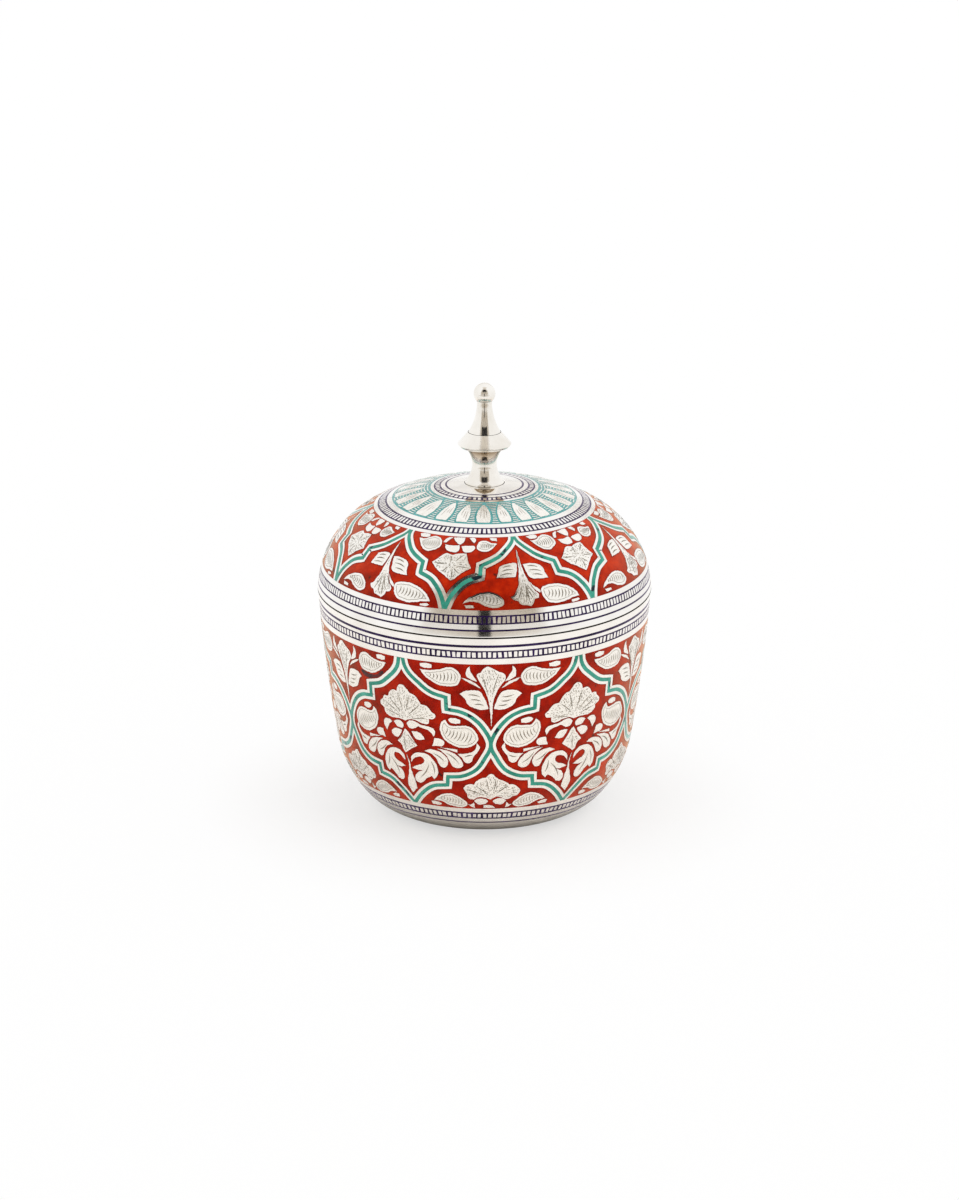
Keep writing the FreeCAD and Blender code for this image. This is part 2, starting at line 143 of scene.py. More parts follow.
def bowl_face():
    """Bowl outside from the mouth down: barely curved wall, belly, corner, flat base."""
    mouth, knuckle = np.array((MOUTH_RADIUS, MOUTH_HEIGHT)), np.array((KNUCKLE_RADIUS, KNUCKLE_HEIGHT))
    wall = arc_centre(knuckle, mouth, BOWL_WALL_ARC)
    belly = knuckle + (wall - knuckle) * BOWL_BELLY_ARC / BOWL_WALL_ARC
    reach = BOWL_BELLY_ARC - BOWL_CORNER_ARC
    corner = np.array([belly[0] + math.sqrt(reach ** 2 - (belly[1] - BOWL_CORNER_ARC) ** 2), BOWL_CORNER_ARC])
    turn = belly + (corner - belly) * BOWL_BELLY_ARC / reach
    return Face(np.vstack([
        arc_between(wall, BOWL_WALL_ARC, mouth, knuckle), arc_between(belly, BOWL_BELLY_ARC, knuckle, turn),
        arc_between(corner, BOWL_CORNER_ARC, turn, (corner[0], 0)),
        np.column_stack([np.linspace(corner[0], 0, 40), np.zeros(40)])]))


def lid_face():
    """Lid outside from the apex to the rim: shallow crown and rounded side."""
    side = LID_RISE - LID_SWELL
    centre = np.array([LID_RADIUS - math.sqrt(side ** 2 - LID_SIDE_DROP ** 2), MOUTH_HEIGHT - LID_SIDE_DROP])
    low = CROWN - centre[1]
    crown = (centre[0] ** 2 + low ** 2 - side ** 2) / (2 * (low - side))
    top = np.array([0, CROWN - crown])
    shoulder = top + (centre - top) * crown / (crown - side)
    return Face(np.vstack([arc_between(top, crown, (0, CROWN), shoulder),
                           arc_between(centre, side, shoulder, (LID_RADIUS, MOUTH_HEIGHT))]))


def body_of(name):
    return name.split("_")[0]


BOWL, LID = bowl_face(), lid_face()
FACES = {"bowl": BOWL, "lid": LID}
# Arc lengths between which each ring lies on its face.
SPANS = {name: tuple(map(FACES[body_of(name)].at, kinds, edges))
         for name, (kinds, *edges) in {**BOWL_RINGS, **LID_RINGS}.items()}


# ---- meshes
def placed(name, data):
    """A new object in the scene."""
    thing = bpy.data.objects.new(name, data)
    bpy.context.scene.collection.objects.link(thing)
    return thing


class Build:
    """Collects the points and faces of one piece, in millimetres."""

    def __init__(self):
        self.points, self.faces, self.count = [], [], 0

    def add(self, points, faces):
        self.points.append(np.asarray(points, float))
        self.faces += [tuple(i + self.count for i in face) for face in faces]
        self.count += len(points)

    def piece(self, name, body, slot, material, replaced=(), crease=35):
        mesh = bpy.data.meshes.new(name)
        mesh.from_pydata((np.vstack(self.points) * MM).tolist(), [], self.faces)
        whole = bmesh.new()
        whole.from_mesh(mesh)
        bmesh.ops.remove_doubles(whole, verts=whole.verts, dist=SMALLEST)
        bmesh.ops.dissolve_degenerate(whole, edges=whole.edges, dist=SMALLEST)
        whole.to_mesh(mesh)
        whole.free()
        mesh.validate()
        mesh.shade_smooth()
        mesh.set_sharp_from_angle(angle=math.radians(crease))
        mesh.materials.append(material)
        piece = placed(name, mesh)
        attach(piece, body)
        if replaced:
            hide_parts(*replaced)


def lathe(outline, closed=True, turns=TURNS):
    """A turned mesh from radius and height pairs that run clockwise round the section."""
    outline = np.asarray(outline, float)
    angle = np.linspace(0, 2 * math.pi, turns, endpoint=False)
    rows = len(outline)
    points = np.column_stack([
        np.outer(np.sin(angle), outline[:, 0]).ravel(), np.outer(-np.cos(angle), outline[:, 0]).ravel(),
        np.tile(outline[:, 1], turns)])
    faces = []
    for t in range(turns):
        here, there = t * rows, (t + 1) % turns * rows
        for k in range(rows if closed else rows - 1):
            n = (k + 1) % rows
            if outline[k][0] < 1e-6 and outline[n][0] < 1e-6:
                continue
            faces.append((here + k, here + n, there + n, there + k))
    return points, faces


def rounded(corners, radius=EDGE_ROUND, steps=4):
    """Rounds the corners of an open outline by a radius, or by a corner's own third entry."""
    out = [np.array(corners[0][:2], float)]
    for before, here, after in zip(corners, corners[1:], corners[2:]):
        p, *others = (np.array(c[:2], float) for c in (here, before, after))
        cut = here[2] if len(here) > 2 else radius
        a, b = (p + (q - p) / np.linalg.norm(q - p) * min(cut, np.linalg.norm(q - p) / 2) for q in others)
        out += [(1 - t) ** 2 * a + 2 * t * (1 - t) * p + t ** 2 * b for t in np.linspace(0, 1, steps + 1)]
    return np.array(out + [np.array(corners[-1][:2], float)])


def recessed(face, start, end, names):
    """The face's outline from start to end, sunk where the named rings lie."""
    out, here = [], start
    stops = [(edge, sink) for name in names for edge, sink in zip(SPANS[name], (0.0, -SINK))] + [(end, 0.0)]
    for stop, lift in stops:
        out.append(face.outline(np.linspace(here, stop, max(2, int((stop - here) / OUTLINE_STEP))), lift))
        here = stop
    return np.vstack(out)


def enamel_ring(name, slot, material):
    """A ring of enamel that fills its groove to just under the metal."""
    first, last = SPANS[name]
    face, s = FACES[body_of(name)], np.linspace(first, last, max(3, int((last - first) / OUTLINE_STEP)))
    build = Build()
    build.add(*lathe(np.vstack([face.outline(s, -ENAMEL_DIP), face.outline(s[::-1], -SINK)])))
    build.piece(name + "_ring", body_of(name), slot, material, [name + "_enamel"])


# ---- ornament
class Cell:
    """One repeat of the pattern: shares of the half pitch (u) and of the field (v) on a face."""

    def __init__(self, ring, axis, left, right, flip=1):
        self.face, self.axis, self.left, self.right, self.flip = FACES[body_of(ring)], axis, left, right, flip
        self.top, end = SPANS[ring]
        self.arc = end - self.top
        self.radius = float(np.mean(self.face.outline(np.linspace(self.top, end, 20))[:, 0]))

    def flat(self, shares):
        """Millimetres on the unrolled field."""
        u, v = np.asarray([p[:2] for p in shares], float).T
        u = u * self.flip
        degrees = np.where(u < 0, self.left, self.right) * u
        return np.column_stack([np.radians(degrees) * self.radius, v * self.arc])

    def wrap(self, flat, lift=0.0):
        """Back from the unrolled field to the face."""
        return self.face.place(self.axis + np.degrees(flat[:, 0] / self.radius), self.top + flat[:, 1], lift)


def curve(points, tips, closed, pace=0.45):
    """A smooth curve through flat points, with a corner at each tip."""
    count, out = len(points), []
    for i in range(count if closed else count - 1):
        b, c = points[i], points[(i + 1) % count]
        span = np.linalg.norm(c - b)
        ends = []
        for k in (i, (i + 1) % count):
            inner = closed or 0 < k < count - 1
            if tips[k] or not inner:
                ends.append(c - b)
            else:
                chord = points[(k + 1) % count] - points[k - 1]
                ends.append(chord / max(np.linalg.norm(chord), 1e-9) * span)
        t = np.linspace(0, 1, max(2, int(span / pace)), endpoint=False)[:, None]
        out.append((2 * t ** 3 - 3 * t ** 2 + 1) * b + (t ** 3 - 2 * t ** 2 + t) * ends[0]
                   + (3 * t ** 2 - 2 * t ** 3) * c + (t ** 3 - t ** 2) * ends[1])
    return np.vstack(out if closed else out + [points[-1:]])


def shape(cell, shares, closed=True):
    """A hand-cut outline on a cell: a third entry in a share marks a corner."""
    path = curve(cell.flat(shares), [len(p) > 2 for p in shares], closed)
    wobble = HAND_WOBBLE if closed else HAND_WOBBLE / 3
    return path + np.array([(chance.uniform(-wobble, wobble), chance.uniform(-wobble, wobble)) for _ in path])


def mirrored(shares):
    return [(-p[0],) + tuple(p[1:]) for p in shares]


def inside(loop, points):
    """Which flat points lie inside a closed loop."""
    x, y = points[:, 0][:, None], points[:, 1][:, None]
    ax, ay = loop.T
    bx, by = np.roll(loop, -1, axis=0).T
    level = (ay > y) != (by > y)
    rise = np.where(by == ay, 1e-12, by - ay)
    return (level & (x < (bx - ax) * (y - ay) / rise + ax)).sum(1) % 2 == 1


def winding(loop):
    """1 or -1, the way round that a loop runs."""
    area = np.dot(loop[:, 0], np.roll(loop[:, 1], -1)) - np.dot(loop[:, 1], np.roll(loop[:, 0], -1))
    return 1 if area > 0 else -1


def clearance(loop, points):
    """Each point's distance from the nearest point of a loop."""
    return np.linalg.norm(points[:, None] - loop[None], axis=2).min(1)


def inset(loop, width, stride, room):
    """A loop moved inwards by a width, and where it keeps that share of the width from the edge."""
    chord = np.roll(loop, -stride, axis=0) - np.roll(loop, stride, axis=0)
    along = chord / np.maximum(np.linalg.norm(chord, axis=1), 1e-9)[:, None]
    path = loop + np.column_stack([-along[:, 1], along[:, 0]]) * (winding(loop) * width)
    return path, (clearance(loop, path) > room * width) & inside(loop, path)


def patch(build, cell, loop, lift=0.0, grid=PATCH_GRID):
    """A flush-cut patch of metal over a loop, with walls down into the groove."""
    low, high = loop.min(0), loop.max(0)
    across, down = np.meshgrid(*(np.arange(a + grid / 2, b, grid) for a, b in zip(low, high)))
    spots = np.column_stack([across.ravel(), down.ravel()])
    if len(spots):
        spots = spots[inside(loop, spots) & (clearance(loop, spots) > PATCH_MARGIN)]
    order = list(range(len(loop)))[::winding(loop)]
    found = geometry.delaunay_2d_cdt(
        [Vector(p) for p in np.vstack([loop, spots]).tolist()], [], [order], 1, 1e-5)
    flat, triangles = np.array([tuple(v) for v in found[0]]), [tuple(f) for f in found[2]]
    rim = {}
    for tri in triangles:
        for a, b in zip(tri, tri[1:] + tri[:1]):
            if rim.pop((b, a), None) is None:
                rim[(a, b)] = True
    count = len(flat)
    faces = [tri[::-1] for tri in triangles] + [(a, b, b + count, a + count) for a, b in rim]
    build.add(np.vstack([cell.wrap(flat, lift), cell.wrap(flat, -SINK)]), faces)


def ribbon(build, cell, path, left, right, lift, floor=None):
    """A strip between two offsets of an open path, mitred at its corners, with walls if it has a floor."""
    if np.mean(left) < np.mean(right):
        left, right = right, left
    along = np.diff(path, axis=0)
    along /= np.linalg.norm(along, axis=1)[:, None]
    side = np.column_stack([-along[:, 1], along[:, 0]])
    bend = (side[:-1] + side[1:]) / np.maximum(1 + (side[:-1] * side[1:]).sum(1), SHARPEST_MITRE)[:, None]
    bend = np.vstack([side[:1], bend, side[-1:]])
    edges = [path + bend * np.asarray(offset, float).reshape(-1, 1) for offset in (left, right)]
    for edge in edges:
        edge[:, 1] = np.clip(edge[:, 1], 0, cell.arc)
    rows, strips, n = [cell.wrap(edge, lift) for edge in edges], [(0, 1)], len(path)
    if floor is not None:
        rows += [cell.wrap(edge, floor) for edge in edges]
        strips += [(2, 0), (1, 3)]
    build.add(np.vstack(rows), [(a * n + i, a * n + i + 1, b * n + i + 1, b * n + i)
                                for a, b in strips for i in range(n - 1)])


def scratch(build, cell, path, width):
    """One graver's stroke, thin at both ends."""
    half = width / 2 * (0.25 + 0.75 * np.sin(math.pi * np.linspace(0, 1, len(path))))
    ribbon(build, cell, path, half, -half, STROKE_LIFT)


def inner_line(build, cell, loop):
    """A stroke that follows a loop at an even inset."""
    path, kept = inset(loop, LINE_INSET, 2, 0.9)
    for run in np.split(np.arange(len(path)), np.nonzero(np.diff(kept.astype(int)))[0] + 1):
        if kept[run[0]] and len(run) > 4:
            ribbon(build, cell, path[run], LINE_HALF, -LINE_HALF, STROKE_LIFT)


def border(build, cell, loop):
    """A polished strip inside a loop's edge, thin where there is no room for it."""
    held = np.where(inset(loop, POLISHED_RIM, 1, 0.85)[1], POLISHED_RIM, THIN_RIM)
    around, held = np.vstack([loop, loop[:1]]), np.append(held, held[0])
    ribbon(build, cell, around, winding(loop) * held, 0 * held, POLISH_LIFT)


def chased(build, cell, loop, heart):
    """Rows of short dashes that fan out from a flower's heart, as a chasing tool leaves them."""
    for radius in np.arange(DASH_GAP, np.linalg.norm(loop - heart, axis=1).max(), DASH_GAP):
        count = int(2 * math.pi * radius / DASH_PACE)
        for k in range(count):
            lean = 2 * math.pi * (k + chance.uniform(-0.3, 0.3)) / count
            spot = heart + (radius + chance.uniform(-0.25, 0.25)) * np.array([math.cos(lean), math.sin(lean)])
            length, width, skew = (chance.uniform(*span) for span in (DASH_LENGTH, DASH_WIDTH, DASH_SKEW))
            if chance.uniform(0, 1) > DASHES_KEPT or clearance(loop, spot[None])[0] < DASH_MARGIN:
                continue
            if inside(loop, spot[None])[0]:
                reach = np.array([math.cos(lean + skew), math.sin(lean + skew)]) * length / 2
                scratch(build, cell, np.vstack([spot - reach, spot, spot + reach]), width)


def traced(*points):
    """An outline from thousandths of its cell, u from the axis and v down the field; square brackets mark a corner."""
    return [(p[0] / 1000, p[1] / 1000) + (1,) * isinstance(p, list) for p in points]


# Outlines picked from the photo's front, one for each motif.
BOWL_STRAP = traced(
    (975, 0), (955, 50), (905, 95), (830, 133), (675, 196), [495, 225], [492, 303], (330, 317), (187, 360), (65, 440),
    (0, 535), (70, 628), (170, 705), (325, 750), [505, 763], [515, 820], (700, 840), (860, 908), (1000, 1000))
LILY = traced(
    (-30, 14), (25, 31), [90, 50], (135, 60), (157, 89), (141, 112), (101, 137), (71, 169), (42, 205), (20, 250),
    (16, 305), [4, 408], (-12, 305), (-24, 250), (-40, 212), (-68, 173), (-92, 145), [-116, 119], (-142, 93),
    (-150, 65), [-112, 52], (-85, 30))
LILY_LEAF = traced(
    [-338, 196], (-283, 176), (-198, 169), (-125, 176), (-80, 212), (-50, 252), [-30, 292], (-110, 297), (-168, 290),
    (-249, 266), (-286, 224))
LILY_BRACT = traced(
    [-229, 13], (-224, 42), (-196, 71), [-150, 112], (-205, 100), [-262, 82], (-269, 56), (-257, 30))
LILY_SPUR = traced(
    [-319, 90], (-259, 98), (-175, 120), [-112, 156], (-200, 130), (-278, 107))
TOP_PAISLEY = traced(
    [-775, 56], (-677, 56), (-559, 45), (-458, 25), (-388, 34), (-330, 70), (-330, 105), (-370, 138), (-455, 149),
    (-566, 146), (-656, 122), (-731, 91))
TOP_DAB = traced(
    [-772, 17], (-718, 11), [-638, 18], [-644, 38], (-718, 43), [-769, 37])
HALF_PEONY = traced(
    [-325, 835], (-287, 812), (-236, 804), [-195, 812], (-170, 785), (-114, 765), [-55, 757], (-15, 737), (26, 735),
    [60, 756], (120, 777), (177, 788), [228, 810], (277, 811), (328, 829), (365, 864), (326, 893), [277, 900],
    (227, 918), [190, 920], (120, 900), (70, 898), [0, 918], (-90, 900), (-160, 902), [-201, 920], (-266, 912),
    (-286, 875))
HALF_PEONY_CURL = traced(
    [-199, 932], (-162, 915), (-99, 912), (-30, 931), [-60, 955], (-143, 960))
HALF_PEONY_SPUR = traced(
    [-275, 962], (-243, 966), [-205, 945], [-192, 990], (-240, 980))
HALF_PEONY_FOOT = traced(
    [-85, 967], (-36, 966), (28, 972), [60, 990], [-85, 990])
FOOT_PAISLEY = traced(
    [-711, 945], (-648, 913), (-565, 890), (-489, 883), (-390, 902), (-317, 932), (-285, 960), (-341, 988), (-432, 988),
    (-521, 976), (-607, 952))
FOOT_DAB = traced(
    [-750, 960], (-687, 957), [-619, 972], [-646, 987], [-740, 984])
PEONY = traced(
    (-11, 177), (24, 185), (61, 208), [90, 226], (143, 237), (187, 263), [212, 290], (283, 297), (337, 331), (382, 355),
    (358, 377), [300, 380], (295, 411), (234, 417), (148, 403), (72, 400), [7, 415], (-74, 409), [-190, 412],
    (-251, 402), (-297, 381), [-295, 360], (-349, 341), (-352, 318), [-310, 300], (-283, 276), [-225, 274], (-193, 242),
    (-135, 222), [-85, 228], (-65, 194))
CURL = traced(
    [22, 430], (59, 412), (121, 410), (185, 424), (258, 432), (329, 438), (367, 460), [350, 495], (324, 473),
    (290, 457), (231, 450), [169, 440], (121, 457), (78, 464), (36, 450))
CALYX = traced(
    [78, 482], (140, 478), (200, 489), [237, 524], (156, 532), (112, 517))
SEPAL_HIGH = traced(
    [-167, 437], (-116, 423), (-60, 425), (-20, 444), [-36, 469], (-95, 469), (-135, 458))
HOOK = traced(
    (-301, 432), (-242, 428), [-193, 439], (-242, 461), [-288, 508], (-321, 478), (-330, 453))
SEPAL_LOW = traced(
    (-217, 512), (-182, 488), (-125, 479), [-50, 487], (-80, 513), [-118, 537], (-165, 538))
DROP = traced(
    [-3, 472], (-42, 506), [-129, 566], (-76, 584), (-54, 616), [-18, 634], (40, 609), [137, 573], (80, 530), (34, 490))
PAISLEY = traced(
    [492, 374], (507, 394), (542, 410), (614, 411), (700, 406), (777, 416), (835, 452), (859, 493), (826, 527),
    (738, 552), (639, 555), (544, 535), (474, 505), (433, 459), (426, 426), (449, 391))
PAISLEY_DAB = traced(
    [523, 373], (553, 360), (610, 360), [662, 370], [660, 390], (591, 396), (545, 388))
BUD = traced(
    [355, 507], (406, 505), (452, 513), (471, 532), (436, 556), (375, 556), [325, 560], (343, 533))
FAN = [
    traced(
        [224, 601], (298, 585), (373, 590), (435, 603), (492, 633), (506, 667), (474, 696), (423, 699), (393, 676),
        (362, 644), (309, 615)),
    traced(
        [387, 575], (507, 584), (588, 602), (645, 630), (676, 660), (668, 688), (603, 697), (557, 685), (526, 656),
        (496, 623), (447, 596)),
    traced(
        [422, 565], (521, 566), [621, 570], [617, 590], (531, 578)),
    traced(
        [621, 599], (694, 597), (775, 586), (825, 564), [842, 520], (875, 550), (850, 581), (800, 616), (785, 647),
        (735, 660), (700, 653), (669, 626))]
SCROLL = traced(
    [42, 692], (52, 656), (104, 627), (182, 618), (259, 625), (316, 648), (360, 684), (378, 722), (368, 761),
    [325, 788], [297, 768], (235, 787), [176, 822], (120, 830), (84, 812), (85, 784), (124, 756), [204, 737],
    (124, 739), [47, 730], (102, 713), (185, 695), (216, 669), (192, 649), (141, 648), (85, 665))
SPIKE = traced(
    [-11, 650], (8, 698), (6, 740), (-14, 791), (-37, 836), (-30, 868), [10, 915], [85, 874], (75, 831), (52, 783),
    (30, 744), (24, 703))
LID_STRAP = traced(
    (985, 0), (950, 90), (840, 200), (690, 320), [440, 437], [425, 582], (250, 645), (130, 750), (50, 870), (0, 1000))
LID_TOP_PAISLEY = [
    traced(
        [-706, 96], (-594, 98), (-503, 55), (-395, 30), (-285, 67), (-240, 147), (-262, 206), (-333, 246), (-422, 276),
        (-529, 254), (-627, 179)),
    traced(
        (365, 145), (393, 90), (445, 60), (535, 69), (600, 100), [694, 111], (621, 185), (540, 230), (436, 230),
        (370, 192))]
LID_TOP_DAB = [
    traced(
        [-746, 25], (-673, 12), (-545, 14), [-530, 50], (-587, 72), [-700, 70]),
    traced(
        [583, 15], [700, 16], [700, 68], (600, 50))]
LID_PETAL = [
    traced(
        [-170, 149], (-100, 158), (-8, 159), [73, 146], (88, 203), (62, 250), (-48, 254), (-133, 219)),
    traced(
        [115, 162], (177, 151), (257, 150), (334, 161), (304, 230), (228, 252), (163, 240)),
    traced(
        [-64, 26], (56, 14), [153, 16], (133, 95), [86, 136], (37, 117)),
    traced(
        [-222, 112], (-200, 62), (-120, 20), [-75, 24], (-132, 70), (-175, 118)),
    traced(
        [224, 16], (323, 16), [344, 66], [311, 102])]
DIAMOND = traced(
    [-294, 425], (-228, 376), (-153, 308), (-96, 282), [0, 302], (100, 275), [213, 270], (245, 373), [298, 475],
    (209, 518), [149, 561], (87, 616), [37, 645], (-30, 604), [-114, 552], (-182, 518))
TULIP = traced(
    [-12, 225], (0, 359), (8, 444), (30, 554), (70, 648), (106, 727), (145, 787), (195, 835), [180, 878], [125, 890],
    (107, 932), [65, 972], [4, 955], (-55, 945), [-98, 898], (-155, 882), [-186, 844], (-138, 822), (-102, 762),
    (-65, 690), (-55, 600), (-40, 522), (-32, 428), (-26, 314))
LID_LEAF = [
    traced(
        [-305, 455], (-227, 426), (-134, 412), (-60, 420), (-58, 469), (-72, 535), [-95, 594], (-201, 598), [-347, 600],
        (-323, 522)),
    traced(
        [40, 436], (138, 430), (262, 452), (334, 501), (350, 583), [383, 645], (252, 642), (115, 620), (70, 535)),
    traced(
        [90, 672], (142, 725), (222, 787), [218, 818], (148, 774))]
LID_PAISLEY = [
    traced(
        [-780, 920], (-746, 877), (-677, 832), (-559, 787), (-470, 775), (-394, 788), (-321, 826), (-279, 877),
        (-273, 926), (-338, 966), (-412, 971), (-500, 946), (-588, 905), (-676, 893)),
    traced(
        (243, 765), (304, 740), (396, 728), (502, 738), (621, 773), (703, 817), (767, 878), [792, 926], (685, 932),
        (568, 957), (460, 967), (330, 946), (268, 898), (239, 827))]
LID_DAB = [
    traced(
        [-755, 940], [-650, 941], [-639, 971], [-738, 974]),
    traced(
        [661, 962], [761, 952], (786, 967), (734, 986), [660, 986])]
CRESCENT = traced(
    (343, 150), (469, 161), (610, 152), (720, 117), (680, 165), (550, 192), (440, 190), (360, 172))
ORNAMENT_SLOTS = {"strap_enamel": "teal_enamel", "dark_edges_and_shade": "red_enamel", "black_enamel": "red_enamel"}


class Ornament:
    """The pieces that one decorated body is building up, by name."""

    def __init__(self, names):
        self.parts = {name: Build() for name in names}

    def draw(self, cell, motifs):
        """Each motif gives the kind of shape, its outline and its details."""
        for kind, *details in motifs:
            getattr(self, kind)(cell, *details)

    def strap(self, cell, shares, nudge=0.0):
        """Turquoise line between two silver fillets."""
        path = shape(cell, shares, closed=False)
        ribbon(self.parts["strap_fillets"], cell, path, FILLET_EDGE, -FILLET_EDGE, FILLET_LIFT + nudge, -SINK)
        ribbon(self.parts["strap_enamel"], cell, path, STRAP_HALF, -STRAP_HALF, STRAP_LIFT + nudge)
        # Dark red lines along both fillets: the enamel's dark edge, partly painted shade where it meets the metal.
        for side in (1, -1):
            ribbon(self.parts["dark_edges_and_shade"], cell, path, side * (FILLET_EDGE + RIM_LINE),
                   side * (FILLET_EDGE - RIM_OVERLAP), RIM_LIFT)

    def silver(self, kind, cell, shares):
        """One silver shape standing in the enamel, with the dark line where the thin enamel meets it, partly painted
        shade of the recess.
        """
        loop = shape(cell, shares)
        patch(self.parts[kind], cell, loop, ENGRAVED_LIFT)
        side = -winding(loop)
        ribbon(self.parts["dark_edges_and_shade"], cell, np.vstack([loop, loop[:1]]), side * RIM_LINE, -side * RIM_OVERLAP,
               RIM_LIFT)
        border(self.parts["polished_rims"], cell, loop)
        return loop

    def burn(self, cell, shares):
        """A black patch in the enamel."""
        patch(self.parts["black_enamel"], cell, shape(cell, shares), BLACK_PATCH_LIFT)

    def flower(self, cell, shares, heart):
        """A flower: strokes from its heart to the notches between its petals, and rows of dashes over them."""
        loop = self.silver("flowers", cell, shares)
        middle = cell.flat([heart])[0]
        for notch in cell.flat([p for p in shares if len(p) > 2]):
            if np.linalg.norm(notch - middle) > 2:
                t = np.linspace(0.3, 0.92, 7)[:, None]
                sway = np.sin(math.pi * t) * np.array([[chance.uniform(-0.5, 0.5), 0]])
                path = middle + (notch - middle) * t + sway
                if inside(loop, path).all():
                    scratch(self.parts["engraving"], cell, path, NOTCH_WIDTH)
        chased(self.parts["engraving"], cell, loop, middle)

    def leaf(self, cell, shares, veins=()):
        """A leaf, with veins given by their ends in shares."""
        self.silver("leaves", cell, shares)
        for vein in veins:
            first, last = cell.flat(vein)
            bow = np.array([last[1] - first[1], first[0] - last[0]]) * VEIN_BOW
            t = np.linspace(0, 1, 7)[:, None]
            path = first + (last - first) * t + np.sin(math.pi * t) * bow
            scratch(self.parts["engraving"], cell, path, VEIN_WIDTH)

    def two_leaves(self, cell, shares, veins=()):
        self.leaf(cell, shares, veins)
        self.leaf(cell, mirrored(shares), [mirrored(vein) for vein in veins])

    def paisley(self, cell, shares):
        """A paisley: a line inside its edge and a row of short curved cuts along its middle."""
        loop = self.silver("paisleys", cell, shares)
        middle = loop.mean(0)
        along, across = np.linalg.svd(loop - middle)[2]
        length = np.ptp((loop - middle) @ along)
        for step in np.linspace(-0.3, 0.3, 8):
            probe = middle + along * length * step + np.outer(np.linspace(-6, 6, 97), across)
            held = probe[inside(loop, probe)]
            if len(held) < 8:
                continue
            spot, room = held.mean(0), np.linalg.norm(held[-1] - held[0])
            t = np.linspace(-1, 1, 7)[:, None]
            cut = spot + across * t * room * chance.uniform(0.2, 0.27) + along * (1 - t ** 2) * CUT_BOW
            scratch(self.parts["engraving"], cell, cut, CUT_WIDTH - 0.25 * abs(step))
        inner_line(self.parts["engraving"], cell, loop)

    def two_paisleys(self, cell, shares):
        self.paisley(cell, shares)
        self.paisley(cell, mirrored(shares))


# Veins of the leaves, each by its two ends in shares of the cell.
LILY_VEINS = [[(-0.25, 0.2), (-0.12, 0.212)], [(-0.22, 0.232), (-0.11, 0.24)], [(-0.18, 0.262), (-0.08, 0.268)]]
FAN_VEINS = [[[(0.33, 0.61), (0.46, 0.66)]], [[(0.49, 0.6), (0.63, 0.665)]], [], [[(0.7, 0.62), (0.79, 0.605)]]]
SCROLL_VEINS = [[(0.3, 0.67), (0.335, 0.75)], [(0.27, 0.69), (0.15, 0.79)]]
LID_LEAF_VEINS = [[[(-0.26, 0.47), (-0.13, 0.45)], [(-0.28, 0.52), (-0.12, 0.5)], [(-0.3, 0.57), (-0.13, 0.555)]],
                  [[(0.1, 0.465), (0.26, 0.49)], [(0.11, 0.52), (0.3, 0.55)], [(0.15, 0.58), (0.31, 0.605)]], []]

# Between two medallions: a lily above, half a peony below, a paisley in each corner.
SPANDREL = [
    ("strap", BOWL_STRAP), ("strap", mirrored(BOWL_STRAP), STRAP_NUDGE), ("flower", LILY, (0, 0.26)),
    ("two_leaves", LILY_LEAF, LILY_VEINS), ("two_leaves", LILY_BRACT), ("two_leaves", LILY_SPUR),
    ("two_paisleys", TOP_PAISLEY), ("two_leaves", TOP_DAB), ("flower", HALF_PEONY, (0.01, 0.9)),
    ("two_leaves", HALF_PEONY_CURL), ("two_leaves", HALF_PEONY_SPUR), ("leaf", HALF_PEONY_FOOT),
    ("two_paisleys", FOOT_PAISLEY), ("two_leaves", FOOT_DAB)]

# A medallion: peony on a leafy stem between two paisleys.
MEDALLION = [
    ("flower", PEONY, (0.005, 0.4)), ("leaf", CURL), ("leaf", CALYX), ("leaf", SEPAL_HIGH), ("leaf", HOOK),
    ("leaf", SEPAL_LOW), ("leaf", SPIKE), ("flower", DROP, (0, 0.48)), ("two_leaves", SCROLL, SCROLL_VEINS),
    *(("two_leaves", *fan) for fan in zip(FAN, FAN_VEINS)), ("two_leaves", BUD), ("two_paisleys", PAISLEY),
    ("two_leaves", PAISLEY_DAB)]

# Under the shoulder: a small open flower, a square one and two paisleys.
LID_UPPER = [
    ("strap", LID_STRAP), ("strap", mirrored(LID_STRAP), STRAP_NUDGE), *(("paisley", p) for p in LID_TOP_PAISLEY),
    *(("leaf", p) for p in LID_TOP_DAB + LID_PETAL), ("flower", DIAMOND, (0.02, 0.44))]

# Over the rim: a hanging tulip with two leaves, and a paisley on each side.
LID_LOWER = [
    ("flower", TULIP, (0, 0.62)), *(("leaf", *leaf) for leaf in zip(LID_LEAF, LID_LEAF_VEINS)),
    *(("paisley", p) for p in LID_PAISLEY), *(("leaf", p) for p in LID_DAB)]

# Each body's bands: marks, the marks between them, motifs, and whether every other cell is turned about.
BANDS = {
    "bowl": ((BOWL_JUNCTIONS, BOWL_AXES, SPANDREL, False), (BOWL_AXES, BOWL_JUNCTIONS, MEDALLION, True)),
    "lid": ((LID_TIPS, LID_APEXES, LID_UPPER, False), (LID_APEXES, LID_TIPS, LID_LOWER, False))}
BLACK_PATCHES = {BOWL_JUNCTIONS[0]: [("burn", CRESCENT)]}


def decorate(body, looks):
    """All the ornament of one body; looks holds the material of each piece."""
    ornament = Ornament(looks)
    for marks, others, motifs, alternate in BANDS[body]:
        for i, mark in enumerate(marks):
            left = min((mark - other) % 360 for other in others)
            right = min((other - mark) % 360 for other in others)
            cell = Cell(body + "_field", mark, left, right, -1 if alternate and i % 2 else 1)
            ornament.draw(cell, motifs + BLACK_PATCHES.get(mark, []))
    for name, build in ornament.parts.items():
        build.piece(body + "_" + name, body, ORNAMENT_SLOTS.get(name, "plated_brass"), looks[name])


# ---- bands
CELL_SHIFT, CELL_LEAN, CELL_SPREAD, EDGE_SPREAD = 0.07, 0.06, (0.88, 1.1), (0.85, 1.2)


